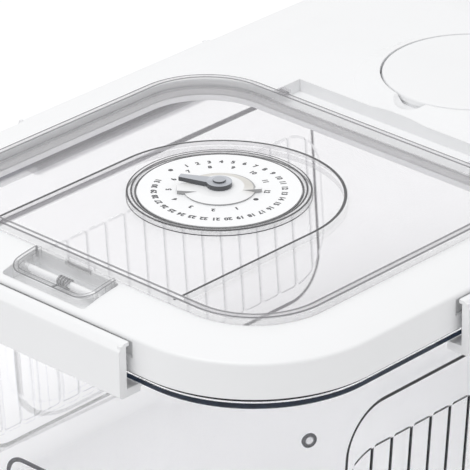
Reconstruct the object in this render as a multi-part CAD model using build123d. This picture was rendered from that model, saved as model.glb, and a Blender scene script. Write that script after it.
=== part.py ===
from build123d import *
from math import cos, radians, sin, tan
import os

# A lidded dry food container: a clear drafted tub, a white lid held by four edge clips,
# a clear hinged flap with a two-pointer date dial, a sprung press latch in front of the
# flap and a round cap over a desiccant cup behind it.
# X runs along the front edge, Y from front to rear, Z up, origin on the floor at the centre.

# Lid, driving sizes in millimetres
lid_width = 208.0
lid_length = 291.0
lid_corner = 51.5
lid_top = 132.5
lid_plate = 2.5
lid_skirt_height = 17.0
lid_skirt_wall = 2.4
lid_edge_round = 1.2
crown_width = 20.0
crown_drop = 3.8
crown_bulge = 0.66
cut_margin = 1.0

# Tub
tub_setback = 6.8
tub_wall = 2.2
tub_draft = 4.0
tub_floor = 2.4
tub_foot_height = 2.5
tub_foot_radius = 8.0
tub_foot_inset = 26.0
tub_bottom_round = 6.0
flange_setback = 2.2
flange_thickness = 4.5
flange_gap = 0.5
flange_edge_chamfer = 0.7
lip_rise = 6.0

# Fluted side panels of the tub
panel_margin = 51.4
panel_top_drop = 13.4
panel_bottom = 9.5
panel_corner = 17.0
panel_depth = 0.5
flute_pitch = 10.05
flute_rib = 1.4
flute_depth = 0.5
flute_margin = 3.5
flute_low_margin = 6.0
flute_top_drop = 17.6
flute_arch = 20.0
flute_arch_reach = 4.2
frame_width = 60.0
frame_height = 36.0
frame_top = 53.0
frame_corner = 9.0
frame_line = 1.6
frame_rise = 0.7
corner_boss_radius = 2.7
corner_boss_rise = 0.8
corner_boss_drop = 16.5
corner_boss_angle = 23.0
flute_corner = 1.5

# Flap
flap_width = 167.0
flap_corner = 29.8
flap_front_margin = 20.9
flap_rear_deck = 123.6
flap_rise = 2.5
flap_wall = 2.0
flap_plate = 2.0
flap_rim_width = 3.8
flap_tray_drop = 2.4
flap_skirt_height = 5.2
flap_gap = 0.3
flap_edge_round = 0.8
plateau_half_width = 45.0
plateau_drop = 0.4
flap_seal_height = 1.8
flap_seal_width = 2.6
flap_seal_inset = 0.2
seat_gap = 0.3
ledge_width = 3.4
ledge_thickness = 2.2
well_wall = 2.0

# Flap hinge
hinge_recess_width = 97.0
hinge_recess_depth = 15.8
hinge_recess_drop = 4.8
hinge_axis_back = 5.2
hinge_axis_drop = 1.4
hinge_ear_radius = 2.0
hinge_ear_width = 3.2
hinge_ear_gap = 0.4
hinge_pin_radius = 0.9
hinge_pin_seat = 1.7
hinge_fit = 0.05

# Date dial
dial_offset = 5.05
dial_disc_radius = 29.0
dial_disc_height = 1.7
dial_ring_gap = 0.2
dial_ring_outer = 32.9
dial_ring_height = 2.1
dial_ring_step = 30.5
dial_ring_step_drop = 0.6
pivot_radius = 1.6
pivot_fit = 0.05
dial_ring_round = 0.5
pivot_head_radius = 2.3
pivot_head_height = 0.5
pivot_head_round = 0.2
pointer_gap = 0.3
white_hub_radius = 12.7
white_hub_top = 8.8
white_hub_edge = 0.3
white_blade_reach = 15.0
white_tail_root = 5.5
white_tail_tip = 2.4
white_leaf_root = 4.6
white_leaf_tip = 0.5
white_thickness = 1.3
white_tail_angle = 227.5
white_leaf_angle = 35.5
grey_hub_radius = 4.5
grey_blade_reach = 14.8
grey_blade_root = 2.6
grey_blade_tip = 1.3
grey_thickness = 1.6
grey_angle = 203.5

# Press latch
pocket_width = 40.0
pocket_front = 2.4
pocket_round = 1.5
pocket_wall = 1.0
pocket_depth = 7.1
pocket_base = 1.8
axle_radius = 1.2
axle_front = 13.0
axle_drop = 3.8
axle_seat = 1.2
axle_fit = 0.05
button_gap = 0.35
button_front_gap = 0.9
button_rise = 1.8
button_plate = 1.5
button_wall = 1.2
button_skirt_drop = 4.1
button_lug_width = 3.0
button_lug_radius = 2.0
button_round = 7.0
button_rear_round = 2.0
nose_width = 12.0
nose_reach = 0.7
nose_drop = 0.4
nose_height = 1.1
nose_lead = 0.6
nose_swing = 1.9
nose_gap = 0.3
spring_wire = 0.35
spring_coil_radius = 1.65
spring_turns = 4.55
spring_pitch = 1.25
spring_leg = 3.0

# Edge clips
clip_front_width = 89.0
clip_side_width = 99.0
clip_stand_off = 5.6
clip_wall = 1.6
clip_top_drop = 5.2
clip_top_wall = 1.3
clip_top_flat = 3.1
clip_rear_gap = 1.0
clip_shoulder = 2.4
clip_shoulder_round = 0.9
clip_inner_round = 1.5
clip_hook_depth = 3.5
clip_toe = 1.0
clip_hook_gap = 0.45
clip_hook_reach = 1.8
clip_hook_chamfer = 0.7
clip_cheek = 1.6
clip_pivot_out = 2.3
clip_pivot_drop = 8.2
clip_pin_radius = 0.8
clip_pin_fit = 0.06
clip_lug_radius = 1.4
clip_lug_width = 5.0
clip_lug_pitch = 30.0
clip_lug_gap = 0.3
clip_lug_stem = 0.6
clip_lug_foot = 1.3
clip_rib = 1.6
clip_groove_depth = 1.3
clip_groove_gap = 0.5
clip_groove_up = 2.7
clip_groove_down = 3.4

# Round cap and desiccant cup
cap_rear_margin = 65.7
cap_radius = 33.8
cap_rise = 4.3
cap_thickness = 2.4
cap_round = 1.0
cap_gap = 0.35
cap_bore_gap = 0.7
cap_skirt_wall = 1.6
cap_skirt_depth = 7.0
collar_outer = 44.0
collar_inner = 36.0
collar_rise = 4.0
cup_outer = 30.6
cup_wall = 1.4
cup_depth = 13.0
cup_flange = 1.0
cup_flange_overlap = 2.6
cup_gap = 0.3
cup_slot_width = 2.0
cup_slot_pitch = 5.0
cup_slots = 7
cup_slot_margin = 8.0
scoop_radius = 9.0
scoop_sink = 5.5
scoop_angle = 269.0
cap_seal_thickness = 0.9
cap_seal_height = 1.6

# Seal between lid and tub
seal_setback = 5.9
seal_width = 4.2
seal_height = 2.0
seal_gap = 0.3

# Derived places
front = -lid_length / 2
skirt_bottom = lid_top - lid_skirt_height
plate_bottom = lid_top - lid_plate
flange_top = skirt_bottom - flange_gap
rim_z = flange_top - flange_thickness
lip_top = flange_top + lip_rise
panel_top = rim_z - panel_top_drop
corner_boss_height = rim_z - corner_boss_drop
tub_width = lid_width - 2 * tub_setback
tub_length = lid_length - 2 * tub_setback
tub_corner = lid_corner - tub_setback
draft_slope = tan(radians(tub_draft))
flap_top = lid_top + flap_rise
flap_length = lid_length - flap_front_margin - flap_rear_deck
flap_center = front + flap_front_margin + flap_length / 2
flap_front = front + flap_front_margin
flap_rear = flap_front + flap_length
flap_bottom = flap_top - flap_skirt_height
tray_top = flap_top - flap_tray_drop
tray_bottom = tray_top - flap_plate
plateau_top = flap_top - plateau_drop
ledge_top = flap_bottom - flap_seal_height - seat_gap
ledge_bottom = ledge_top - ledge_thickness
well_width = flap_width + 2 * flap_gap
well_length = flap_length + 2 * flap_gap
well_corner = flap_corner + flap_gap
opening_width = well_width - 2 * ledge_width
opening_length = well_length - 2 * ledge_width
opening_corner = well_corner - ledge_width
dial_y = flap_center - dial_offset
cap_y = lid_length / 2 - cap_rear_margin
hinge_y = flap_rear + hinge_axis_back
hinge_z = lid_top - hinge_axis_drop
hinge_recess_floor = lid_top - hinge_recess_drop
pocket_y0 = front + pocket_front
pocket_y1 = flap_front - flap_gap - pocket_wall
pocket_floor = lid_top - pocket_depth
axle_y = front + axle_front
axle_z = lid_top - axle_drop
button_top = lid_top + button_rise
button_bottom = lid_top - button_skirt_drop
nose_top = lid_top - nose_drop
nose_bottom = nose_top - nose_height
clip_pivot_z = lid_top - clip_pivot_drop
clip_top = lid_top - clip_top_drop
edge_z = lid_top - crown_drop
clip_bottom = rim_z - clip_hook_depth
cap_top = lid_top + cap_rise
cap_bottom = cap_top - cap_thickness
cup_seat = cap_bottom - cap_gap - cup_flange
seal_top = lip_top + seal_gap + seal_height


def slab(width, length, radius, bottom, top, y=0.0):
    """Upright block with rounded plan corners between two heights."""
    outline = Pos(0, y, bottom) * RectangleRounded(width, length, radius)
    return extrude(outline, amount=top - bottom)


def block(x0, x1, y0, y1, z0, z1):
    """Plain box between two corners."""
    middle = ((x0 + x1) / 2, (y0 + y1) / 2, (z0 + z1) / 2)
    return Pos(*middle) * Box(x1 - x0, y1 - y0, z1 - z0)


def rod(radius, bottom, top, x=0.0, y=0.0):
    """Upright cylinder between two heights."""
    return Pos(x, y, (bottom + top) / 2) * Cylinder(radius, top - bottom)


def cross_rod(radius, x0, x1, y, z):
    """Cylinder along X between two places."""
    return Pos((x0 + x1) / 2, y, z) * Rot(0, 90, 0) * Cylinder(radius, x1 - x0)


def drafted(width, length, radius, top, bottom):
    """Upright block that narrows downwards by the tub's draft."""
    outline = Pos(0, 0, top) * RectangleRounded(width, length, radius)
    return extrude(outline, amount=top - bottom, dir=(0, 0, -1), taper=tub_draft)


def side_plane(side):
    """Plane on a long wall: local X along the wall, local Y up it, normal outwards."""
    origin = (side * tub_width / 2, 0, rim_z)
    normal = (side * cos(radians(tub_draft)), 0, -sin(radians(tub_draft)))
    return Plane(origin=origin, x_dir=(0, side, 0), z_dir=normal)


def front_plane():
    """Plane on the front wall, laid out as the side planes are."""
    origin = (0, -tub_length / 2, rim_z)
    normal = (0, -cos(radians(tub_draft)), -sin(radians(tub_draft)))
    return Plane(origin=origin, x_dir=(1, 0, 0), z_dir=normal)


def up_wall(height):
    """Distance up a drafted wall from the rim for a height above the floor."""
    return (height - rim_z) / cos(radians(tub_draft))


def side_panel(side):
    """Shallow rounded panel and its row of flutes, as the volume to cut from a long wall."""
    wall = side_plane(side)
    low = up_wall(panel_bottom)
    high = up_wall(panel_top)
    start = front + panel_margin
    end = -start
    middle = side * (start + end) / 2
    outline = RectangleRounded(end - start, high - low, panel_corner)
    cut = extrude(wall * Pos(middle, (low + high) / 2) * outline, amount=-panel_depth)
    count = int((end - start - 2 * flute_margin) // flute_pitch)
    flute_low = low + flute_low_margin
    height = high - flute_top_drop - flute_low
    row = Pos(middle, flute_low + height / 2)
    arch = row * RectangleRounded(end - start + 2 * flute_arch_reach, height, flute_arch)
    flute = RectangleRounded(flute_pitch - flute_rib, height, flute_corner)
    for index in range(count):
        offset = (index - (count - 1) / 2) * flute_pitch
        outline = (row * Pos(offset, 0) * flute) & arch
        cut += extrude(wall * outline, amount=-panel_depth - flute_depth)
    return cut


def label_frame():
    """Raised rounded frame on the front wall."""
    wall = front_plane()
    high = up_wall(frame_top)
    place = Pos(0, high - frame_height / 2)
    outer = RectangleRounded(frame_width, frame_height, frame_corner)
    inner = RectangleRounded(
        frame_width - 2 * frame_line, frame_height - 2 * frame_line, frame_corner - frame_line
    )
    return extrude(wall * place * (outer - inner), amount=frame_rise) + extrude(
        wall * place * (outer - inner), amount=-tub_wall / 2
    )


def corner_boss(side):
    """Small round boss on a front corner of the tub."""
    shrink = (rim_z - corner_boss_height) * draft_slope
    angle = radians(corner_boss_angle)
    center_x = side * (tub_width / 2 - tub_corner)
    center_y = -(tub_length / 2 - tub_corner)
    direction = (side * cos(angle), -sin(angle), 0)
    reach = tub_corner - shrink - tub_wall / 2
    start = (center_x + direction[0] * reach, center_y + direction[1] * reach, corner_boss_height)
    disc = Plane(origin=start, z_dir=direction) * Circle(corner_boss_radius)
    return extrude(disc, amount=tub_wall / 2 + corner_boss_rise)


def make_tub():
    """Clear tub: drafted walls, outward flange, upright lip, feet and fluted panels."""
    body = drafted(tub_width, tub_length, tub_corner, rim_z, tub_foot_height)
    body = fillet(body.faces().sort_by(Axis.Z)[0].edges(), tub_bottom_round)
    flange_width = lid_width - 2 * flange_setback
    flange_length = lid_length - 2 * flange_setback
    flange_corner = lid_corner - flange_setback
    flange = slab(flange_width, flange_length, flange_corner, rim_z, flange_top)
    flange = chamfer(flange.faces().sort_by(Axis.Z)[0].edges(), flange_edge_chamfer)
    lip = slab(tub_width, tub_length, tub_corner, rim_z, lip_top)
    body = body + flange + lip
    for side in (-1, 1):
        body -= side_panel(side)
        body += corner_boss(side)
    body += label_frame()
    inner_width = tub_width - 2 * tub_wall
    inner_length = tub_length - 2 * tub_wall
    inner_corner = tub_corner - tub_wall
    inner = drafted(inner_width, inner_length, inner_corner, rim_z, tub_foot_height + tub_floor)
    inner = fillet(inner.faces().sort_by(Axis.Z)[0].edges(), tub_bottom_round - tub_wall / 2)
    throat = slab(inner_width, inner_length, inner_corner, rim_z, lip_top)
    body -= inner + throat
    foot_x = tub_width / 2 - tub_foot_inset
    foot_y = tub_length / 2 - tub_foot_inset
    for x in (-foot_x, foot_x):
        for y in (-foot_y, foot_y):
            body += rod(tub_foot_radius, 0, tub_foot_height + tub_floor / 2, x, y)
    return body


def crown_cut(drop=0.0):
    """Volume above the lid's crowned margin, as a ring to cut from a full-height slab."""
    outline = RectangleRounded(lid_width, lid_length, lid_corner).wire()
    tangent = outline % 0
    outward = (tangent.Y, -tangent.X, 0)
    middle = tuple(outline @ 0)
    if outward[0] * middle[0] + outward[1] * middle[1] < 0:
        outward = (-outward[0], -outward[1], 0)
    section = Plane(origin=middle, x_dir=outward, z_dir=Vector(*outward).cross(Vector(0, 0, 1)))
    top = lid_top - drop
    low = edge_z - drop
    crown = ThreePointArc(
        (-crown_width, top), (-crown_width / 2, (top + low) / 2 + crown_bulge), (0, low)
    )
    border = Polyline(
        (0, low), (cut_margin, low), (cut_margin, top + cut_margin + crown_drop),
        (-crown_width, top + cut_margin + crown_drop), (-crown_width, top),
    )
    face = section * make_face([crown, *border.edges()])
    return sweep(face, path=outline)


def clip_groove(width):
    """Groove in the lid's skirt that one clip's top swings into, in the clip's own place."""
    half = width / 2 + clip_groove_gap
    return block(
        -half, half, -clip_groove_depth, cut_margin,
        clip_pivot_z - clip_groove_down, clip_pivot_z + clip_groove_up,
    )


def lug_places():
    """Places of the lid's hinge lugs along one clip."""
    return (-clip_lug_pitch, 0.0, clip_lug_pitch)


def clip_lugs():
    """Hinge lugs on the lid's skirt for one clip: foot, stem and ring, in the clip's own place."""
    half = clip_lug_width / 2
    foot_top = clip_pivot_z - clip_groove_down
    lugs = []
    for x in lug_places():
        foot = block(
            x - half, x + half, -lid_skirt_wall / 2, clip_pivot_out + clip_lug_stem,
            foot_top - clip_lug_foot, foot_top - clip_lug_gap / 2,
        )
        stem = block(
            x - half, x + half, clip_pivot_out - clip_lug_stem, clip_pivot_out + clip_lug_stem,
            foot_top - clip_lug_foot, clip_pivot_z,
        )
        ring = cross_rod(clip_lug_radius, x - half, x + half, clip_pivot_out, clip_pivot_z)
        lugs.append(foot + stem + ring)
    return lugs


def clip_bore():
    """Bore through one clip's row of lugs."""
    half = clip_lug_pitch + clip_lug_width
    return cross_rod(clip_pin_radius + clip_pin_fit, -half, half, clip_pivot_out, clip_pivot_z)


def clip_places():
    """Name, width and place of each clip, local X along the lid's edge and local Y outwards."""
    return (
        ("clip_front", clip_front_width, Pos(0, -lid_length / 2, 0) * Rot(0, 0, 180)),
        ("clip_rear", clip_front_width, Pos(0, lid_length / 2, 0)),
        ("clip_left", clip_side_width, Pos(-lid_width / 2, 0, 0) * Rot(0, 0, 90)),
        ("clip_right", clip_side_width, Pos(lid_width / 2, 0, 0) * Rot(0, 0, -90)),
    )


def ear_spans():
    """X spans of the flap's two hinge ears, just inside the recess's end walls."""
    outer = hinge_recess_width / 2 - hinge_ear_gap
    inner = outer - hinge_ear_width
    return ((-outer, -inner), (inner, outer))


def pin_spans():
    """Name and X span of each hinge pin, from an ear's inner face into the lid's wall."""
    outer = hinge_recess_width / 2 + hinge_pin_seat
    inner = hinge_recess_width / 2 - hinge_ear_gap - hinge_ear_width
    return (("flap_hinge_pin_left", -outer, -inner), ("flap_hinge_pin_right", inner, outer))


def make_lid():
    """White lid: skirted plate with flap well, hinge recess, latch pocket and cap collar."""
    crown = crown_cut()
    body = slab(lid_width, lid_length, lid_corner, skirt_bottom, lid_top) - crown
    near = lid_edge_round / 4
    edge = body.edges().filter_by_position(Axis.Z, edge_z - near, edge_z + near)
    body = fillet(edge, lid_edge_round)
    inner_width = lid_width - 2 * lid_skirt_wall
    inner_length = lid_length - 2 * lid_skirt_wall
    inner_corner = lid_corner - lid_skirt_wall
    cavity = slab(inner_width, inner_length, inner_corner, skirt_bottom, plate_bottom)
    body -= cavity - crown_cut(lid_plate)

    carrier = slab(
        lid_width - 2 * seal_setback, lid_length - 2 * seal_setback,
        lid_corner - seal_setback, seal_top, plate_bottom + lid_plate / 2,
    )
    inset = seal_setback + seal_width
    carrier -= slab(
        lid_width - 2 * inset, lid_length - 2 * inset, lid_corner - inset, seal_top, lid_top
    )
    body += carrier
    body += slab(
        well_width + 2 * well_wall, well_length + 2 * well_wall, well_corner + well_wall,
        ledge_bottom, plate_bottom + lid_plate / 2, flap_center,
    )
    recess_rear = flap_rear + hinge_recess_depth
    recess_half = hinge_recess_width / 2
    body += block(
        -recess_half - well_wall, recess_half + well_wall, flap_rear - well_wall,
        recess_rear + well_wall, hinge_recess_floor - well_wall, plate_bottom + lid_plate / 2,
    )
    pocket_half = pocket_width / 2
    body += block(
        -pocket_half - well_wall, pocket_half + well_wall, pocket_y0 - pocket_wall,
        flap_front + well_wall, pocket_floor - pocket_base, plate_bottom + lid_plate / 2,
    )

    body -= crown
    bore = cap_radius + cap_bore_gap
    collar = Pos(0, cap_y, lid_top) * Solid.make_cone(collar_outer, collar_inner, collar_rise)
    body += collar + rod(collar_outer, plate_bottom, lid_top, 0, cap_y)
    body += rod(bore + well_wall, cup_seat - lid_plate, lid_top, 0, cap_y)

    body -= slab(
        well_width, well_length, well_corner, ledge_top, lid_top + cut_margin, flap_center
    )
    body -= slab(
        opening_width, opening_length, opening_corner,
        ledge_bottom - cut_margin, lid_top, flap_center,
    )
    recess = block(
        -recess_half, recess_half, flap_rear - flap_corner / 2, recess_rear,
        hinge_recess_floor, lid_top + collar_rise + cut_margin,
    )
    body -= recess
    pocket = block(
        -pocket_half, pocket_half, pocket_y0, pocket_y1, pocket_floor, lid_top + cut_margin
    )
    body -= fillet(pocket.edges().filter_by(Axis.Z), pocket_round)
    slot_half = nose_width / 2 + nose_gap
    body -= block(
        -slot_half, slot_half, pocket_y1 - cut_margin, flap_front,
        nose_bottom - nose_gap, lid_top + cut_margin,
    )
    axle_half = pocket_half + axle_seat
    body -= cross_rod(axle_radius, -axle_half, axle_half, axle_y, axle_z)

    body -= rod(bore, cup_seat, lid_top + collar_rise + cut_margin, 0, cap_y)
    body -= rod(cup_outer + cup_gap, skirt_bottom, lid_top + collar_rise, 0, cap_y)
    scoop_turn = radians(scoop_angle)
    scoop_x = bore * cos(scoop_turn)
    scoop_y = cap_y + bore * sin(scoop_turn)
    body -= Pos(scoop_x, scoop_y, lid_top + collar_rise + scoop_sink) * Sphere(scoop_radius)

    for _, x0, x1 in pin_spans():
        body -= cross_rod(hinge_pin_radius, x0, x1, hinge_y, hinge_z)
    for _, width, place in clip_places():
        body -= place * clip_groove(width)
        for lug in clip_lugs():
            body += place * lug
        body -= place * clip_bore()
    return body


def make_lid_seal():
    """Soft ring between the lid's carrier and the tub's lip."""
    inset = seal_setback + seal_width
    ring = slab(
        lid_width - 2 * seal_setback, lid_length - 2 * seal_setback,
        lid_corner - seal_setback, seal_top - seal_height, seal_top,
    )
    return ring - slab(
        lid_width - 2 * inset, lid_length - 2 * inset, lid_corner - inset,
        seal_top - seal_height, seal_top,
    )


def plateau_outline(half_width):
    """U outline of the flap's plateau: round behind the dial, straight to the front edge."""
    straight = Pos(0, (flap_front + dial_y) / 2) * Rectangle(2 * half_width, dial_y - flap_front)
    return straight + Pos(0, dial_y) * Circle(half_width)


def make_flap():
    """Clear flap: rimmed shallow tray with a raised U plateau and two hinge ears."""
    body = slab(flap_width, flap_length, flap_corner, flap_bottom, flap_top, flap_center)
    body = fillet(body.faces().sort_by(Axis.Z)[-1].edges(), flap_edge_round)
    body -= slab(
        flap_width - 2 * flap_wall, flap_length - 2 * flap_wall, flap_corner - flap_wall,
        flap_bottom, tray_bottom, flap_center,
    )
    tray = slab(
        flap_width - 2 * flap_rim_width, flap_length - 2 * flap_rim_width,
        flap_corner - flap_rim_width, tray_top, flap_top, flap_center,
    )
    tray -= Pos(0, 0, tray_top) * extrude(
        plateau_outline(plateau_half_width), amount=plateau_top - tray_top
    )
    body -= tray
    under = Pos(0, 0, tray_bottom) * extrude(
        plateau_outline(plateau_half_width - flap_wall / 2), amount=plateau_top - tray_top
    )
    keep = slab(
        flap_width - 2 * flap_rim_width, flap_length - 2 * flap_rim_width,
        flap_corner - flap_rim_width, tray_bottom, flap_top, flap_center,
    )
    body -= under & keep

    notch_half = nose_width / 2 + nose_gap
    body -= block(
        -notch_half, notch_half, flap_front - cut_margin, flap_front + nose_reach + nose_gap,
        nose_bottom - nose_gap, nose_top + nose_swing,
    )
    for x0, x1 in ear_spans():
        ear = cross_rod(hinge_ear_radius, x0, x1, hinge_y, hinge_z)
        arm = block(
            x0, x1, flap_rear - flap_wall / 2, hinge_y, flap_bottom, hinge_z + hinge_ear_radius
        )
        body += ear + arm
        body -= cross_rod(hinge_pin_radius + hinge_fit, x0, x1, hinge_y, hinge_z)
    return body


def make_flap_seal():
    """Soft ring under the flap's wall."""
    outer = flap_seal_inset
    ring = slab(
        flap_width - 2 * outer, flap_length - 2 * outer, flap_corner - outer,
        flap_bottom - flap_seal_height, flap_bottom, flap_center,
    )
    inset = flap_seal_width + outer
    return ring - slab(
        flap_width - 2 * inset, flap_length - 2 * inset, flap_corner - inset,
        flap_bottom - flap_seal_height, flap_bottom, flap_center,
    )


def make_dial_disc():
    """White disc of the date dial, with its centre hole."""
    top = plateau_top + dial_disc_height
    return rod(dial_disc_radius, plateau_top, top, 0, dial_y) - rod(
        pivot_radius, plateau_top, top, 0, dial_y
    )


def make_dial_ring():
    """Clear stepped ring round the disc."""
    top = plateau_top + dial_ring_height
    ring = rod(dial_ring_outer, plateau_top, top, 0, dial_y)
    ring = fillet(ring.faces().sort_by(Axis.Z)[-1].edges(), dial_ring_round)
    ring -= rod(dial_ring_step, top - dial_ring_step_drop, top, 0, dial_y)
    return ring - rod(dial_disc_radius + dial_ring_gap, plateau_top, top, 0, dial_y)


def pointer_levels():
    """Lower faces of the white pointer, the grey pointer and the pivot's head."""
    white = plateau_top + dial_disc_height + pointer_gap
    grey = white + white_thickness + pointer_gap
    head = grey + grey_thickness + pointer_gap
    return white, grey, head


def make_dial_pivot():
    """Rivet that holds both pointers on the disc."""
    _, _, head = pointer_levels()
    post = rod(pivot_radius, plateau_top, head, 0, dial_y)
    cap = rod(pivot_head_radius, head, head + pivot_head_height, 0, dial_y)
    cap = fillet(cap.faces().sort_by(Axis.Z)[-1].edges(), pivot_head_round)
    return post + cap


def blade(reach, root, tip, angle):
    """Flat tapered pointer blade from the pivot, with its half widths at root and tip."""
    outline = Polyline((0, -root), (reach, -tip), (reach, tip), (0, root), close=True)
    return Rot(0, 0, angle) * make_face(outline)


def make_white_pointer():
    """Lower pointer: a shallow domed hub with a pointed leaf and a blunt tail."""
    level, _, _ = pointer_levels()
    dome = Pos(0, 0, white_hub_edge) * Solid.make_cone(
        white_hub_radius, white_hub_top, white_thickness - white_hub_edge
    )
    body = dome + rod(white_hub_radius, 0, white_hub_edge)
    leaf = blade(white_blade_reach, white_leaf_root, white_leaf_tip, white_leaf_angle)
    tail = blade(white_blade_reach, white_tail_root, white_tail_tip, white_tail_angle)
    body += extrude(leaf + tail, amount=white_thickness)
    body -= rod(pivot_radius + pivot_fit, 0, white_thickness)
    return Pos(0, dial_y, level) * body


def make_grey_pointer():
    """Upper pointer: a round hub with one tapered blade."""
    _, level, _ = pointer_levels()
    outline = Circle(grey_hub_radius) + blade(
        grey_blade_reach, grey_blade_root, grey_blade_tip, grey_angle
    )
    outline -= Circle(pivot_radius + pivot_fit)
    return Pos(0, dial_y, level) * extrude(outline, amount=grey_thickness)


def make_latch_button():
    """Clear skirted rocker proud of the lid, with lugs on the axle and a nose into the flap."""
    half = pocket_width / 2 - button_gap
    y0 = pocket_y0 + button_front_gap
    y1 = pocket_y1 - button_gap
    body = block(-half, half, y0, y1, button_bottom, button_top)
    front_corners = body.edges().filter_by(Axis.Z).sort_by(Axis.Y)[0:2]
    body = fillet(front_corners, button_round)
    rear_corners = body.edges().filter_by(Axis.Z).sort_by(Axis.Y)[-2:]
    body = fillet(rear_corners, button_rear_round)
    inner_half = half - button_wall
    hollow = block(
        -inner_half, inner_half, y0 + button_wall, y1 - button_wall,
        button_bottom, button_top - button_plate,
    )
    hollow_corners = hollow.edges().filter_by(Axis.Z).sort_by(Axis.Y)[0:2]
    hollow = fillet(hollow_corners, button_round - button_wall)
    body -= hollow - crown_cut(button_plate - button_rise)
    body -= crown_cut(-button_rise)
    nose_half = nose_width / 2
    root = y1 - button_wall
    tip = flap_front + nose_reach
    profile = Plane.YZ * make_face(
        Polyline(
            (root, nose_bottom), (tip, nose_bottom), (tip, nose_top - nose_lead),
            (tip - nose_lead, nose_top), (root, nose_top), close=True,
        )
    )
    body += extrude(profile, amount=nose_half, both=True)
    for side in (-1, 1):
        outer = side * half
        inner = side * (half - button_lug_width)
        x0 = min(outer, inner)
        x1 = max(outer, inner)
        body += cross_rod(button_lug_radius, x0, x1, axle_y, axle_z)
        body += block(
            x0, x1, axle_y - button_lug_radius, axle_y + button_lug_radius,
            axle_z, lid_top + (button_rise - button_plate) / 2,
        )
    body -= cross_rod(axle_radius + axle_fit, -half, half, axle_y, axle_z)
    return body


def make_latch_axle():
    """White bar across the pocket that the latch button rocks on."""
    half = pocket_width / 2 + axle_seat
    return cross_rod(axle_radius, -half, half, axle_y, axle_z)


def make_latch_spring():
    """Steel torsion spring on the axle: one unbroken wire with two straight legs."""
    length = spring_turns * spring_pitch
    helix = Pos(-length / 2, axle_y, axle_z) * Rot(0, 90, 0) * Helix(
        spring_pitch, length, spring_coil_radius
    )
    start = helix @ 0
    end = helix @ 1
    start_dir = helix % 0
    end_dir = helix % 1
    lead = Line(start - start_dir * spring_leg, start)
    tail = Line(end, end + end_dir * spring_leg)
    path = Wire([lead, helix.edges()[0], tail])
    section = Plane(origin=lead @ 0, z_dir=start_dir) * Circle(spring_wire)
    print("spring gap between turns", round(spring_pitch - 2 * spring_wire, 3))
    return sweep(section, path=path)


def clip_profile():
    """Clip's section: top plate, bevelled shoulder, face and hook, in its own outward plane."""
    outer = clip_stand_off
    inner = outer - clip_wall
    under = clip_top - clip_top_wall
    hook_tip = -flange_setback - clip_hook_reach
    hook_top = rim_z - clip_hook_gap
    outside = FilletPolyline(
        (clip_rear_gap, clip_top), (clip_top_flat, clip_top), (outer, clip_top - clip_shoulder),
        (outer, clip_bottom + clip_toe), radius=clip_shoulder_round,
    )
    inside = FilletPolyline(
        (inner, hook_top), (inner, under), (clip_rear_gap, under), radius=clip_inner_round
    )
    foot = Polyline(
        (outer, clip_bottom + clip_toe), (outer - clip_toe, clip_bottom), (hook_tip, clip_bottom),
        (hook_tip, hook_top - clip_hook_chamfer), (hook_tip + clip_hook_chamfer, hook_top),
        (inner, hook_top),
    )
    rear = Line((clip_rear_gap, under), (clip_rear_gap, clip_top))
    return make_face([*outside.edges(), *foot.edges(), *inside.edges(), rear])


def make_clip(width, place):
    """White edge clip: hooked plate with end cheeks, hinge ribs and a rod through the lugs."""
    half = width / 2
    inner = clip_stand_off - clip_wall
    hook_top = rim_z - clip_hook_gap
    body = extrude(Plane.YZ * clip_profile(), amount=half, both=True)
    for side in (-1, 1):
        edge = side * half
        start = side * (half - clip_cheek)
        body += block(
            min(edge, start), max(edge, start), clip_pivot_out, inner + clip_wall / 2,
            hook_top - clip_hook_chamfer, clip_top - clip_top_wall / 2,
        )
    for x in lug_places():
        for side in (-1, 1):
            near = x + side * (clip_lug_width / 2 + clip_lug_gap)
            far = near + side * clip_rib
            x0 = min(near, far)
            x1 = max(near, far)
            body += cross_rod(clip_lug_radius, x0, x1, clip_pivot_out, clip_pivot_z)
            body += block(
                x0, x1, clip_pivot_out, inner + clip_wall / 2,
                clip_pivot_z - clip_lug_radius, clip_pivot_z + clip_lug_radius,
            )
    body += cross_rod(
        clip_pin_radius, -half + clip_cheek / 2, half - clip_cheek / 2, clip_pivot_out, clip_pivot_z
    )
    return place * body


def make_cap():
    """Round cap: crowned disc with a plug skirt."""
    bottom = cap_bottom
    disc = rod(cap_radius, bottom, cap_top, 0, cap_y)
    disc = fillet(disc.faces().sort_by(Axis.Z)[-1].edges(), cap_round)
    skirt_outer = cup_outer - cup_wall - cap_gap - cap_seal_thickness
    skirt = rod(skirt_outer, bottom - cap_skirt_depth, bottom + cap_thickness / 2, 0, cap_y)
    skirt -= rod(skirt_outer - cap_skirt_wall, bottom - cap_skirt_depth, bottom, 0, cap_y)
    return disc + skirt


def make_cap_seal():
    """Soft band round the cap's plug skirt."""
    inner = cup_outer - cup_wall - cap_gap - cap_seal_thickness
    middle = cap_bottom - cap_skirt_depth / 2
    low = middle - cap_seal_height / 2
    high = middle + cap_seal_height / 2
    return rod(inner + cap_seal_thickness, low, high, 0, cap_y) - rod(inner, low, high, 0, cap_y)


def make_desiccant_cup():
    """White slotted cup that hangs in the lid under the cap."""
    bottom = cup_seat - cup_depth
    flange_radius = cup_outer + cup_flange_overlap
    body = rod(flange_radius, cup_seat, cup_seat + cup_flange, 0, cap_y)
    body += rod(cup_outer, bottom, cup_seat + cup_flange, 0, cap_y)
    body -= rod(cup_outer - cup_wall, bottom + cup_wall, cup_seat + cup_flange, 0, cap_y)
    for index in range(cup_slots):
        x = (index - (cup_slots - 1) / 2) * cup_slot_pitch
        half = max(0.0, (cup_outer - cup_slot_margin) ** 2 - x ** 2) ** 0.5
        body -= block(
            x - cup_slot_width / 2, x + cup_slot_width / 2, cap_y - half, cap_y + half,
            bottom - cut_margin, bottom + cup_wall + cut_margin,
        )
    return body


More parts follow.
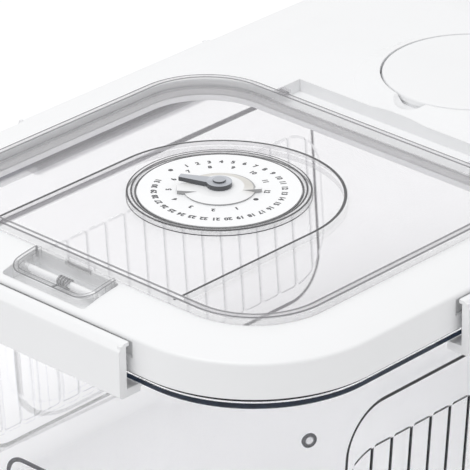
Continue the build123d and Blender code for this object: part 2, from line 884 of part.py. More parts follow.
def main():
    """Builds every sub-part and writes one STEP file for each."""
    os.makedirs("parts", exist_ok=True)
    parts = {
        "tub": make_tub(),
        "lid": make_lid(),
        "lid_seal": make_lid_seal(),
        "flap": make_flap(),
        "flap_seal": make_flap_seal(),
        "dial_disc": make_dial_disc(),
        "dial_ring": make_dial_ring(),
        "dial_pivot": make_dial_pivot(),
        "pointer_white": make_white_pointer(),
        "pointer_grey": make_grey_pointer(),
        "latch_button": make_latch_button(),
        "latch_axle": make_latch_axle(),
        "latch_spring": make_latch_spring(),
        "cap": make_cap(),
        "cap_seal": make_cap_seal(),
        "desiccant_cup": make_desiccant_cup(),
    }
    for name, x0, x1 in pin_spans():
        parts[name] = cross_rod(hinge_pin_radius, x0, x1, hinge_y, hinge_z)
    for name, width, place in clip_places():
        parts[name] = make_clip(width, place)
    for name, shape in parts.items():
        export_step(shape, os.path.join("parts", name + ".step"))


main()
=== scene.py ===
import math

import bmesh
import bpy
from mathutils import Matrix, Vector


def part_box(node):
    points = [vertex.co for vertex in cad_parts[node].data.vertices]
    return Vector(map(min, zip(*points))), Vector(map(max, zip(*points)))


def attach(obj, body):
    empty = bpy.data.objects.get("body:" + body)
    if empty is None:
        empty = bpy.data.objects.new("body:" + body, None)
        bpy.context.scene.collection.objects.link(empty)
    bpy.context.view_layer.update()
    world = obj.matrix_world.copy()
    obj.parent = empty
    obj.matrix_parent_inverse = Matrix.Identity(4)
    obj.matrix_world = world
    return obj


bl_info = {
    "name": "Rice Storage Container",
    "version": (1, 0, 0),
    "blender": (4, 5, 0),
    "location": "3D View > Sidebar > Container",
    "description": "Dresses the rice storage container's frame with its finishes, dial print and studio",
    "category": "Object",
}

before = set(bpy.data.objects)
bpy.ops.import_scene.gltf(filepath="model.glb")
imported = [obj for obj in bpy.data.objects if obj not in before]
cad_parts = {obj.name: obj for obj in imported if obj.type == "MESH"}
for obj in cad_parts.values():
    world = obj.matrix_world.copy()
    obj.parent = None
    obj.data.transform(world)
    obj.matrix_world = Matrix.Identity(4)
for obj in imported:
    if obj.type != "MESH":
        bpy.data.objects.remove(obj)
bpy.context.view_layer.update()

MM = 0.001

# The dial's middle in metres, and the size of the photograph
DISC_LOW, DISC_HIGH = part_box("dial_disc")
DIAL_CENTER = Vector(((DISC_LOW.x + DISC_HIGH.x) / 2, (DISC_LOW.y + DISC_HIGH.y) / 2, DISC_HIGH.z))
PHOTO_PIXELS = 470

# Places on the container in millimetres, in its own frame
TUB_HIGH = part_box("tub")[1] / MM
FLAP_LOW, FLAP_HIGH = (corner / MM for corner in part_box("flap"))
RIM_Z = 110.5
LID_HALF = (104.0, 145.5)
TUB_HALF = (97.2, 138.7)
TUB_CORNER = 44.7
TUB_SLOPE = math.tan(math.radians(4.0))
FLANGE_CORNER = 49.3
PANEL_HALF = (94.1, 43.8)
PANEL_MIDDLE = 53.3
PANEL_CORNER = 17.0
FLUTE_PITCH = 10.05
FLUTE_HALF = (98.3, 32.0)
FLUTE_MIDDLE = 47.5
FLUTE_CORNER = 20.0
FLAP_HALF = (83.5, 73.25)
FLAP_MIDDLE = FLAP_LOW.y + FLAP_HALF[1]
FLAP_CORNER = 29.8
FLAP_RIM = 3.8
PLATEAU_HALF = 45.0
PLATEAU_TOP = 134.6
DIAL_X, DIAL_Y = DIAL_CENTER.x / MM, DIAL_CENTER.y / MM
RING_RADII = (32.4, 30.9, 29.5)
BOSS = (93.3, -111.3, 94.0)
BUTTON_CORNERS = (7.0, 2.0)

# Clips, each a quarter turn on from the last, and the lip at their tops in millimetres
CLIP_NAMES = ("clip_front", "clip_right", "clip_rear", "clip_left")
LIP_TOP = 127.25
LIP_HEIGHT = 1.2
LIP_DEPTH = 0.6
LIP_REACH = 0.55
LIP_END = 0.8
LIP_BEVEL = 0.2

# Where a mask starts and where it is full, in millimetres
BELOW_RIM = (-0.3, 0.0)
OUTER_SKIN = (-1.5, -1.3)
PROUD_OF_SKIN = (0.2, 0.4)
FLANGE_SKIN = (-1.2, -0.6)
SIDE_WALL = (80.0, 84.0)
MIDDLE = (-1.0, 1.0)
FLUTE_ROW = (-0.6, 0.0)
FLUTE_GROOVE = (0.8, 1.2)
BOSS_DISC = (1.0, 1.6)
RIM_TOP = (-0.25, -0.1)
PLATEAU_FACE = (-0.15, -0.05)
RING_WALL = (0.3, 0.5)
BUTTON_FRONT = (-0.5, 0.5)
BUTTON_CROWN = (3.0, 3.4)

# Heights of the flange's painted shade bands over the rim: middle and width in millimetres
FLANGE_BODY = (1.2, 2.6)
FLANGE_TOP = 3.5

# Painted dark lines, painted shade at the clear plastic's edges: distance from the outline in
# millimetres, and share of the edge line's width
LINES = {
    "panel": (0.2, 2.1), "near_flute": (-0.5, 1.1), "far_flute": (-0.2, 1.8), "flute_end": (-0.4, 1.1),
    "flap_rim": (-0.8, 1.0), "flap_inner": (0.7 - FLAP_RIM, 1.1), "plateau": (-0.75, 1.25),
    "button": (-0.5, 0.6), "button_inner": (-2.0, 0.5), "ring": (0.0, 0.85),
}
LINE_SOFTNESS = 0.12
WALL_SKIN = 0.3

# Pointers' painted shade: middle and width of a hub's slope, width of its dark rim line, and their
# spread round the hub
GREY_SLOPE = (3.4, 2.2)
WHITE_SLOPE = (10.7, 3.9)
GREY_SHADE_LINE = 0.0
WHITE_SHADE_LINE = 0.7
SLOPE_LEAN = 0.5
SLOPE_SHADE = (-0.5, 0.4)
SHADE_LINE_SIDE = (0.34, 0.94)
LINE_SHADE = (0.7, 0.85)
LINE_INSET = 0.3

# Dial print: angles in degrees from the dial's right, distances in millimetres
DAYS = (31, 164.0, 10.667)
MONTHS = (12, -24.7, 27.4)
MONTH_SHIFT = (-1.3, 0.8, 0.0)
DAY_DOT = (23.8, 180.0, 0.9)
MONTH_DOT = (16.0, 8.8, 0.95)
PRINT_WEIGHT = 0.05

# Surface patterns, in waves for each metre
FLOW_SCALE = 28.0
GRAIN_SCALE = 700.0

# Studio, in metres
FLOOR_SIZE = 12.0
FLOOR_TONES = ((0.93, 0.93, 0.935), (0.95, 0.95, 0.955))
FLOOR_LIFTS = (0.0, 0.18, 0.17)
KEY_PLACE = (-0.1, -0.42, 1.42)
KEY_AIM = (0.0, 0.0, 0.1)
KEY_SIZE = 1.0
SENSOR_WIDTH = 36.0
CLIP_RANGE = (0.05, 30.0)


# Sizes and colours that a user may change


class ContainerDialSettings(bpy.types.PropertyGroup):
    """Print on the date dial."""

    day_radius: bpy.props.FloatProperty(
        name="Day radius", description="Radius of the ring of day numbers",
        default=22.9 * MM, subtype="DISTANCE", unit="LENGTH",
    )
    month_radius: bpy.props.FloatProperty(
        name="Month radius", description="Radius of the ring of month numbers",
        default=17.3 * MM, subtype="DISTANCE", unit="LENGTH",
    )
    day_height: bpy.props.FloatProperty(
        name="Day height", description="Size of the day numbers",
        default=2.8 * MM, subtype="DISTANCE", unit="LENGTH",
    )
    month_height: bpy.props.FloatProperty(
        name="Month height", description="Size of the month numbers",
        default=2.7 * MM, subtype="DISTANCE", unit="LENGTH",
    )
    print_rise: bpy.props.FloatProperty(
        name="Print rise", description="Thickness of the printed film over the disc",
        default=0.05 * MM, subtype="DISTANCE", unit="LENGTH",
    )
    ink: bpy.props.FloatVectorProperty(
        name="Ink", description="Colour of the print", default=(0.05, 0.05, 0.055),
        subtype="COLOR", size=3, min=0.0, max=1.0,
    )


class ContainerFinishSettings(bpy.types.PropertyGroup):
    """Colours of the mouldings."""

    white: bpy.props.FloatVectorProperty(
        name="White", description="Colour of the lid, clips, cap, disc and lower pointer",
        default=(0.91, 0.915, 0.925), subtype="COLOR", size=3, min=0.0, max=1.0,
    )
    clear: bpy.props.FloatVectorProperty(
        name="Clear", description="Tint of the tub, dial ring and latch button",
        default=(0.975, 0.975, 0.99), subtype="COLOR", size=3, min=0.0, max=1.0,
    )
    grey: bpy.props.FloatVectorProperty(
        name="Grey", description="Colour of the upper pointer and the pivot",
        default=(0.47, 0.49, 0.53), subtype="COLOR", size=3, min=0.0, max=1.0,
    )
    haze: bpy.props.FloatVectorProperty(
        name="Haze", description="Faint lilac haze of the flap's plastic",
        default=(0.69, 0.675, 0.71), subtype="COLOR", size=3, min=0.0, max=1.0,
    )
    # painted shade: beige-grey colour of the white pointer hub's rear slope, standing in for the shade
    # there
    shadow: bpy.props.FloatVectorProperty(
        name="Hub slope", description="Colour of the white pointer's sloped hub",
        default=(0.7, 0.68, 0.64), subtype="COLOR", size=3, min=0.0, max=1.0,
    )
    rubber: bpy.props.FloatVectorProperty(
        name="Seal", description="Colour of the soft seals",
        default=(0.8, 0.8, 0.8), subtype="COLOR", size=3, min=0.0, max=1.0,
    )
    steel: bpy.props.FloatVectorProperty(
        name="Steel", description="Colour of the spring and pins",
        default=(0.3, 0.3, 0.31), subtype="COLOR", size=3, min=0.0, max=1.0,
    )


class ContainerEdgeShadeSettings(bpy.types.PropertyGroup):
    """Painted shade: dark lines and grey skins that stand in for the darkness clear plastic shows along
    its edges and upright faces.
    """

    line: bpy.props.FloatProperty(
        name="Edge line", description="Width of a dark edge line in millimetres",
        default=0.9, min=0.1, max=3.0,
    )
    # painted shade: near-black band on the flange's outer edge
    deep: bpy.props.FloatVectorProperty(
        name="Deep edge", description="Tint of the thick flange seen through its edge",
        default=(0.02, 0.03, 0.05), subtype="COLOR", size=3, min=0.0, max=1.0,
    )
    # painted shade: dark lines on the panel, flute, plateau and dial edges
    dark: bpy.props.FloatVectorProperty(
        name="Dark edge", description="Tint of the panel, flute, plateau and dial edges",
        default=(0.03, 0.03, 0.034), subtype="COLOR", size=3, min=0.0, max=1.0,
    )
    # painted shade: grey lines on the label frame, bosses and rims
    soft: bpy.props.FloatVectorProperty(
        name="Soft edge", description="Tint of the label frame, bosses and rims",
        default=(0.17, 0.17, 0.18), subtype="COLOR", size=3, min=0.0, max=1.0,
    )
    # painted shade: pale lines on the far wall's flutes
    faint: bpy.props.FloatVectorProperty(
        name="Faint edge", description="Tint of the far flutes",
        default=(0.8, 0.8, 0.81), subtype="COLOR", size=3, min=0.0, max=1.0,
    )
    # painted shade: grey on the upright faces of flap and button
    skin: bpy.props.FloatVectorProperty(
        name="Side skin", description="Tint of the upright faces of flap and button",
        default=(0.86, 0.86, 0.87), subtype="COLOR", size=3, min=0.0, max=1.0,
    )


class ContainerStageSettings(bpy.types.PropertyGroup):
    """Floor, lamp and camera."""

    target: bpy.props.FloatVectorProperty(
        name="Target", description="Point the camera looks at",
        default=(0.02649, -0.07638, 0.135), subtype="XYZ", size=3,
    )
    azimuth: bpy.props.FloatProperty(
        name="Azimuth", description="Turn of the camera round the object",
        default=math.radians(43.723), subtype="ANGLE",
    )
    elevation: bpy.props.FloatProperty(
        name="Elevation", description="Height angle of the camera",
        default=math.radians(26.534), subtype="ANGLE",
    )
    roll: bpy.props.FloatProperty(
        name="Roll", description="Turn of the camera about its own axis",
        default=math.radians(-0.521), subtype="ANGLE",
    )
    distance: bpy.props.FloatProperty(
        name="Distance", description="Camera to target",
        default=1.45144, subtype="DISTANCE", unit="LENGTH",
    )
    pixels_per_metre: bpy.props.FloatProperty(
        name="Scale", description="Pixels of the frame for one metre at the target",
        default=2913.0,
    )
    sky: bpy.props.FloatProperty(
        name="Sky", description="Strength of the even light from all round", default=0.7,
    )
    key: bpy.props.FloatProperty(
        name="Key", description="Power of the large lamp overhead", default=7.0,
        subtype="POWER", unit="POWER",
    )


# Small tools for objects


def deselect_all():
    """Leaves nothing selected and no active object."""
    bpy.ops.object.select_all(action="DESELECT")
    bpy.context.view_layer.objects.active = None


def take(obj):
    """Makes one object the only selected and active one."""
    deselect_all()
    obj.select_set(True)
    bpy.context.view_layer.objects.active = obj
    return obj


def join(objects, name):
    """Joins several mesh objects into one piece with its place in its mesh."""
    deselect_all()
    for obj in objects:
        obj.select_set(True)
    bpy.context.view_layer.objects.active = objects[0]
    bpy.ops.object.join()
    piece = bpy.context.view_layer.objects.active
    piece.name = name
    bpy.ops.object.transform_apply(location=True, rotation=True, scale=True)
    return piece


def paint(obj, material):
    """Gives a piece or node one material."""
    obj.data.materials.clear()
    obj.data.materials.append(material)


def smooth(obj, angle=35.0):
    """Smooth shading below an edge angle."""
    take(obj)
    bpy.ops.object.shade_smooth_by_angle(angle=math.radians(angle))
    return obj


# Shader maths


class Sock:
    """A node output with Python's arithmetic on it."""

    def __init__(self, board, socket):
        self.board = board
        self.socket = socket

    def _math(self, operation, a, b=None, clamp=False):
        inputs = {0: a} if b is None else {0: a, 1: b}
        return self.board.node("ShaderNodeMath", {"operation": operation, "use_clamp": clamp}, inputs)

    def __add__(self, other):
        return self._math("ADD", self, other)

    def __radd__(self, other):
        return self._math("ADD", other, self)

    def __sub__(self, other):
        return self._math("SUBTRACT", self, other)

    def __rsub__(self, other):
        return self._math("SUBTRACT", other, self)

    def __mul__(self, other):
        return self._math("MULTIPLY", self, other)

    def __rmul__(self, other):
        return self._math("MULTIPLY", other, self)

    def __truediv__(self, other):
        return self._math("DIVIDE", self, other)

    def __abs__(self):
        return self._math("ABSOLUTE", self)

    def rounded(self):
        """The nearest whole number."""
        return self._math("ROUND", self)

    def highest(self, other):
        """The larger of two values."""
        return self._math("MAXIMUM", self, other)

    def lowest(self, other):
        """The smaller of two values."""
        return self._math("MINIMUM", self, other)

    def clamp(self):
        """The value held between 0 and 1."""
        return self._math("ADD", self, 0.0, clamp=True)

    def step(self, low, high):
        """0 below low, 1 above high and smooth between them."""
        return self.board.node(
            "ShaderNodeMapRange", {"interpolation_type": "SMOOTHSTEP"},
            {"Value": self, "From Min": low, "From Max": high}, out="Result",
        )

    def near(self, centre, width, soft=LINE_SOFTNESS):
        """1 within half the width of the centre and 0 outside."""
        return 1.0 - abs(self - centre).step(width / 2 - soft, width / 2 + soft)


class Board:
    """A material's node tree, filled through one method."""

    def __init__(self, name):
        self.material = bpy.data.materials.new(name)
        self.material.use_nodes = True
        self.tree = self.material.node_tree
        self.tree.nodes.clear()
        self.output = self.tree.nodes.new("ShaderNodeOutputMaterial")

    def node(self, kind, settings=None, inputs=None, out=0):
        """Adds a node, sets its settings first and then its sockets, and returns an output."""
        made = self.tree.nodes.new(kind)
        for key, value in (settings or {}).items():
            setattr(made, key, value)
        for key, value in (inputs or {}).items():
            if isinstance(value, Sock):
                self.tree.links.new(value.socket, made.inputs[key])
            else:
                made.inputs[key].default_value = value
        return Sock(self, made.outputs[out])

    def place(self):
        """The point on the surface in the object's own frame."""
        return self.node("ShaderNodeTexCoord", out="Object")

    def axes(self):
        """The surface point's X, Y and Z in millimetres."""
        point = self.node("ShaderNodeSeparateXYZ", None, {"Vector": self.place()}, out="X")
        outputs = point.socket.node.outputs
        return [Sock(self, outputs[axis]) * (1.0 / MM) for axis in "XYZ"]

    def upright(self):
        """1 on the object's upright faces and 0 on its level ones."""
        normal = self.node("ShaderNodeTexCoord", out="Normal")
        level = self.node("ShaderNodeSeparateXYZ", None, {"Vector": normal}, out="Z")
        return 1.0 - abs(level).step(0.45, 0.8)

    def length(self, first, second):
        """Distance from zero of a point with two parts."""
        return self.node("ShaderNodeMath", {"operation": "SQRT"}, {0: first * first + second * second})

    def outline(self, first, second, half, corner):
        """Distance to a rounded rectangle, below zero inside it."""
        across = abs(first) - (half[0] - corner)
        along = abs(second) - (half[1] - corner)
        outside = self.length(across.highest(0.0), along.highest(0.0))
        return outside + across.highest(along).lowest(0.0) - corner

    def noise(self, scale, detail=3.0, roughness=0.55):
        """Even noise on the surface, 0 to 1, with its scale in waves for each metre."""
        return self.node(
            "ShaderNodeTexNoise", None,
            {"Vector": self.place(), "Scale": scale, "Detail": detail, "Roughness": roughness},
            out="Fac",
        )

    def tone(self, factor, first, second):
        """Colour between two others by a factor."""
        return self.node(
            "ShaderNodeMix", {"data_type": "RGBA"},
            {0: factor, 6: (*first, 1.0), 7: (*second, 1.0)}, out=2,
        )

    def over(self, colour, mask, painted):
        """Paints one colour over another where the mask is 1."""
        return self.node(
            "ShaderNodeMix", {"data_type": "RGBA"}, {0: mask, 6: colour, 7: (*painted, 1.0)}, out=2
        )

    def bump(self, height, strength, distance, normal=None):
        """Normal of a fine relief, over another normal where one is given."""
        inputs = {"Height": height, "Strength": strength, "Distance": distance}
        if normal is not None:
            inputs["Normal"] = normal
        return self.node("ShaderNodeBump", None, inputs, out="Normal")

    def worn_edge_normal(self, radius):
        """Normal that rounds a moulding's sharp edges by a small radius."""
        return self.node("ShaderNodeBevel", {"samples": 6}, {"Radius": radius}, out="Normal")

    def surface(self, inputs):
        """One Principled surface straight to the output."""
        shader = self.node("ShaderNodeBsdfPrincipled", None, inputs, out="BSDF")
        self.tree.links.new(shader.socket, self.output.inputs["Surface"])
        return self.material


def line(distance, name, edge, soft=LINE_SOFTNESS):
    """Mask of one of the painted dark lines (painted shade), by the distance to its outline."""
    offset, share = LINES[name]
    return distance.near(offset, edge.line * share, soft)


def shade(colour, factor):
    """The same colour, lighter or darker."""
    return tuple(min(1.0, c * factor) for c in colour)


def white_moulding(name, colour, gloss, edge):
    """Injection-moulded white plastic: faint mottling, soft orange peel, rounded edges."""
    board = Board(name)
    cloud = board.noise(scale=35.0, detail=2.0)
    grain = board.noise(GRAIN_SCALE, detail=2.0)
    colour_now = board.tone(cloud, shade(colour, 0.985), shade(colour, 1.01))
    rough = gloss + 0.06 * (cloud - 0.5) + 0.04 * (grain - 0.5)
    rounded = board.worn_edge_normal(edge) if edge else None
    normal = board.bump(grain, strength=0.05, distance=0.02 * MM, normal=rounded)
    return board.surface({
        "Base Color": colour_now, "Roughness": rough, "Normal": normal,
        "IOR": 1.46, "Specular IOR Level": 0.45,
    })


def clear_moulding(board, colour, edge_shades, cover, gloss, ripple):
    """Thin clear plastic: an even faint haze, slight flow ripple and painted shade along its edges."""
    flow = board.noise(FLOW_SCALE, detail=1.5)
    grain = board.noise(GRAIN_SCALE)
    colour_now = board.tone(flow, shade(colour, 0.97), colour)
    haze = cover + 0.05 * (flow - 0.5)
    # painted shade: each mask darkens the colour and raises the cover along the clear plastic's edges
    for mask, edge_shade, weight in edge_shades:
        mask = mask.clamp()
        colour_now = board.over(colour_now, mask, edge_shade)
        haze = haze + mask * (weight - haze)
    return board.surface({
        "Base Color": colour_now, "Alpha": haze.clamp(), "Roughness": gloss + 0.03 * grain,
        "Normal": board.bump(flow, ripple, distance=0.4 * MM), "IOR": 1.49,
    })


def clear_tub(name, colour, edge):
    """The tub's clear plastic, with painted shade: dark along its flange, panels, flutes, label frame
    and bosses.
    """
    board = Board(name)
    x, y, z = board.axes()
    below = 1.0 - (z - RIM_Z).step(*BELOW_RIM)
    skin = board.outline(x, y, TUB_HALF, TUB_CORNER) + (RIM_Z - z) * TUB_SLOPE
    outer = skin.step(*OUTER_SKIN) * below
    proud = skin.step(*PROUD_OF_SKIN) * below
    flange = board.outline(x, y, (TUB_HIGH.x, TUB_HIGH.y), FLANGE_CORNER).step(*FLANGE_SKIN)
    walls = outer * abs(x).step(*SIDE_WALL)
    panel = board.outline(y, z - PANEL_MIDDLE, PANEL_HALF, PANEL_CORNER)
    row = board.outline(y, z - FLUTE_MIDDLE, FLUTE_HALF, FLUTE_CORNER)
    turn = y / FLUTE_PITCH
    rib = (turn - turn.rounded()) * FLUTE_PITCH
    right = x.step(*MIDDLE)
    left = 1.0 - right
    inside = 1.0 - row.step(*FLUTE_ROW)
    near_flutes = walls * right * inside * line(rib, "near_flute", edge)
    far_flutes = walls * left * inside * line(rib, "far_flute", edge, soft=0.5)
    ends = walls * line(row, "flute_end", edge) * abs(rib).step(*FLUTE_GROOVE)
    boss = board.length(board.length(abs(x) - BOSS[0], y - BOSS[1]), z - BOSS[2])
    # painted shade: dark lines on panel outlines, flutes, bosses and flange stand in for clear plastic's
    # edge darkness; the far wall's flutes get paler painted shade
    edge_shades = (
        (walls * line(panel, "panel", edge), edge.dark),
        (near_flutes, edge.dark),
        (far_flutes, edge.faint),
        (ends * right, edge.dark),
        (ends * left, edge.faint),
        (proud * (0.5 + 0.5 * boss.step(*BOSS_DISC)), edge.soft),
        (flange * (z - RIM_Z).near(*FLANGE_BODY), edge.deep),
        (flange * (z - RIM_Z).near(FLANGE_TOP, edge.line), edge.dark),
    )
    flow = board.noise(FLOW_SCALE, detail=1.5)
    colour_now = board.tone(flow, shade(colour, 0.99), colour)
    lines = 0.0
    for mask, edge_shade in edge_shades:
        colour_now = board.over(colour_now, mask, tuple(part * part for part in edge_shade))
        lines = mask + lines
    return board.surface({
        "Base Color": colour_now, "Alpha": (0.45 + 0.55 * lines).clamp(),
        "Roughness": 0.015 + 0.02 * flow, "Normal": board.bump(flow, strength=0.03, distance=0.4 * MM),
        "IOR": 1.12, "Transmission Weight": 1.0, "Coat Weight": 0.4, "Coat IOR": 1.49,
        "Coat Roughness": 0.02,
    })


def clear_flap(name, colour, edge):
    """The flap's clear plastic, with painted shade: darker along its rim, its upright walls and the
    raised plateau.
    """
    board = Board(name)
    x, y, z = board.axes()
    rim = board.outline(x, y - FLAP_MIDDLE, FLAP_HALF, FLAP_CORNER)
    plateau = board.length(x - DIAL_X, (y - DIAL_Y).highest(0.0)) - PLATEAU_HALF
    rim_top = (z - FLAP_HIGH.z).step(*RIM_TOP)
    plateau_top = (z - PLATEAU_TOP).step(*PLATEAU_FACE) * (1.0 - rim_top)
    walls = sum((distance.near(0.0, WALL_SKIN) for distance in (rim, rim + FLAP_RIM, plateau)), 0.0)
    # painted shade: grey skins on the upright walls and dark lines along the rim and plateau
    edge_shades = (
        (walls, edge.skin, 0.3),
        (rim_top * line(rim, "flap_rim", edge), edge.soft, 0.9),
        (rim_top * line(rim, "flap_inner", edge), edge.soft, 0.85),
        (plateau_top * line(plateau, "plateau", edge), edge.dark, 0.97),
    )
    return clear_moulding(board, colour, edge_shades, cover=0.2, gloss=0.03, ripple=0.02)


def clear_ring(name, colour, edge):
    """The dial ring: a thin clear skin with painted shade: a dark line round each of its steps."""
    board = Board(name)
    x, y, z = board.axes()
    radius = board.length(x - DIAL_X, y - DIAL_Y)
    raised = (z - PLATEAU_TOP).step(*RING_WALL)
    # painted shade: dark on the ring's outer foot and a dark line round each step
    lines = (1.0 - raised) * (radius - RING_RADII[0]).step(0.0, WALL_SKIN)
    for at in RING_RADII:
        lines = lines + raised * line(radius - at, "ring", edge)
    lines = lines.clamp()
    flow = board.noise(scale=200.0, detail=2.0)
    colour_now = board.tone(flow, shade(colour, 0.94), colour)
    return board.surface({
        "Base Color": board.over(colour_now, lines, edge.dark),
        "Alpha": (0.2 + 0.06 * flow + 0.72 * lines).clamp(), "Roughness": 0.04 + 0.05 * flow,
        "Normal": board.bump(flow, strength=0.02, distance=0.2 * MM), "IOR": 1.49,
    })


def clear_button(name, colour, edge):
    """The latch button's clear plastic, with painted shade: grey along its upright walls."""
    board = Board(name)
    x, y, z = board.axes()
    low, high = (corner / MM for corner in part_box("latch_button"))
    half = ((high.x - low.x) / 2, (high.y - low.y) / 2)
    across = x - (low.x + high.x) / 2
    along = y - (low.y + high.y) / 2
    rear = along.step(*BUTTON_FRONT)
    front_rim = board.outline(across, along, half, BUTTON_CORNERS[0])
    rear_rim = board.outline(across, along, half, BUTTON_CORNERS[1])
    rim = front_rim * (1.0 - rear) + rear_rim * rear
    crown = (z - low.z).step(*BUTTON_CROWN)
    # painted shade: grey on the upright walls and dark lines at the rim
    edge_shades = (
        (board.upright(), edge.skin, 0.25),
        (crown * line(rim, "button", edge), edge.soft, 0.85),
        (crown * line(rim, "button_inner", edge), edge.soft, 0.5),
    )
    return clear_moulding(board, colour, edge_shades, cover=0.08, gloss=0.03, ripple=0.03)


def pointer_plastic(name, colour, side_shade_colour, slope_shading_colour, slope, shade_line_width):
    """Pointer moulding with painted shade: dark upright sides, the hub's rear slope in the slope colour,
    and a dark line on one side of its rim.
    """
    board = Board(name)
    x, y = board.axes()[:2]
    across, along = x - DIAL_X, y - DIAL_Y
    radius = board.length(across, along)
    grain = board.noise(scale=900.0)
    cloud = board.noise(scale=90.0, detail=2.0)
    colour_now = board.tone(cloud, shade(colour, 0.95), shade(colour, 1.03))
    # painted light on the hub's rear slope: shade on the white pointer, a highlight on the grey one
    rear = (along - SLOPE_LEAN * across) / radius
    shaded = radius.near(*slope, soft=0.3) * rear.step(*SLOPE_SHADE)
    colour_now = board.over(colour_now, shaded, slope_shading_colour)
    # painted shade: a dark line along the hub's rim, on one side only
    far = (across * SHADE_LINE_SIDE[0] + along * SHADE_LINE_SIDE[1]) / radius
    rim = radius - (slope[0] + slope[1] / 2 - LINE_INSET)
    colour_now = board.over(colour_now, rim.near(0.0, shade_line_width) * far.step(*LINE_SHADE), side_shade_colour)
    # painted shade: the upright sides painted dark
    colour_now = board.over(colour_now, board.upright(), side_shade_colour)
    return board.surface({
        "Base Color": colour_now, "Roughness": 0.3 + 0.08 * grain,
        "Normal": board.bump(grain, strength=0.06, distance=0.02 * MM),
        "IOR": 1.46, "Specular IOR Level": 0.5,
    })


def soft_seal(name, colour):
    """Translucent white silicone: matt skin with fine powdery grain."""
    board = Board(name)
    grain = board.noise(scale=1500.0, detail=4.0)
    cloud = board.noise(scale=60.0, detail=2.0)
    colour_now = board.tone(cloud, shade(colour, 0.95), shade(colour, 1.04))
    return board.surface({
        "Base Color": colour_now, "Roughness": 0.5 + 0.15 * grain,
        "Normal": board.bump(grain, strength=0.2, distance=0.03 * MM),
        "Transmission Weight": 0.35, "IOR": 1.41,
    })


def drawn_steel(name, colour):
    """Steel wire and rod with fine drawing lines."""
    board = Board(name)
    stretched = board.node(
        "ShaderNodeMapping", None, {"Vector": board.place(), "Scale": (60.0, 900.0, 900.0)}
    )
    lines = board.node(
        "ShaderNodeTexNoise", None,
        {"Vector": stretched, "Scale": 1.0, "Detail": 4.0, "Roughness": 0.6}, out="Fac",
    )
    stain = board.noise(scale=400.0)
    colour_now = board.tone(stain, shade(colour, 0.82), shade(colour, 1.1))
    return board.surface({
        "Base Color": colour_now, "Metallic": 1.0, "Roughness": 0.22 + 0.2 * lines,
        "Normal": board.bump(lines, strength=0.15, distance=0.02 * MM),
    })


def printed_ink(name, colour):
    """Pad-printed ink: slightly uneven cover and a satin skin."""
    board = Board(name)
    speck = board.noise(scale=2500.0, detail=4.0)
    colour_now = board.tone(speck, shade(colour, 0.8), shade(colour, 1.9))
    return board.surface({
        "Base Color": colour_now, "Roughness": 0.42 + 0.15 * speck,
        "Normal": board.bump(speck, strength=0.1, distance=0.01 * MM),
    })


# Pieces


def text_piece(body, size, rise, turn, place):
    """One printed number as a flat mesh, turned and set on the disc."""
    deselect_all()
    bpy.ops.object.text_add(location=(0.0, 0.0, 0.0))
    obj = bpy.context.view_layer.objects.active
    obj.data.body = body
    obj.data.size = size
    obj.data.extrude = rise / 2
    obj.data.align_x = "CENTER"
    obj.data.align_y = "CENTER"
    obj.data.resolution_u = 3
    obj.data.offset = size * PRINT_WEIGHT
    bpy.ops.object.convert(target="MESH")
    obj = bpy.context.view_layer.objects.active
    obj.matrix_world = Matrix.Translation(place) @ Matrix.Rotation(turn, 4, "Z")
    bpy.ops.object.transform_apply(location=True, rotation=True, scale=True)
    return obj


def dot_piece(radius, rise, place):
    """One printed round dot."""
    deselect_all()
    bpy.ops.mesh.primitive_cylinder_add(vertices=24, radius=radius, depth=rise, location=place)
    obj = bpy.context.view_layer.objects.active
    bpy.ops.object.mode_set(mode="EDIT")
    bpy.ops.mesh.select_all(action="DESELECT")
    mesh = bmesh.from_edit_mesh(obj.data)
    for face in mesh.faces:
        face.select = face.normal.z > 0.9
    bmesh.update_edit_mesh(obj.data)
    bpy.ops.mesh.inset(thickness=radius * 0.2, depth=0.0)
    bpy.ops.object.mode_set(mode="OBJECT")
    bpy.ops.object.transform_apply(location=True, rotation=True, scale=True)
    return obj


class CONTAINER_OT_dial_print(bpy.types.Operator):
    """Prints the day and month numbers and the marks on the date dial"""

    bl_idname = "container.dial_print"
    bl_label = "Dial print"

    def execute(self, context):
        dial = context.scene.container_dial
        month_middle = DIAL_CENTER + Vector(MONTH_SHIFT) * MM
        rings = (
            (DIAL_CENTER, dial.day_radius, dial.day_height, *DAYS),
            (month_middle, dial.month_radius, dial.month_height, *MONTHS),
        )
        parts = []
        for middle, radius, height, count, first, pitch in rings:
            for index in range(count):
                angle = math.radians(first - pitch * index)
                place = self.place(middle, radius, angle)
                number = str(index + 1)
                parts.append(text_piece(number, height, dial.print_rise, angle - math.pi / 2, place))
        for middle, (radius, angle, size) in ((DIAL_CENTER, DAY_DOT), (month_middle, MONTH_DOT)):
            place = self.place(middle, radius * MM, math.radians(angle))
            parts.append(dot_piece(size * MM, dial.print_rise, place))
        piece = join(parts, "dial_print")
        paint(piece, printed_ink("dial_ink", dial.ink))
        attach(piece, "flap")
        return {"FINISHED"}

    def place(self, middle, radius, angle):
        """A point of the disc's face at a radius and angle."""
        return middle + Vector((math.cos(angle), math.sin(angle), 0.0)) * radius


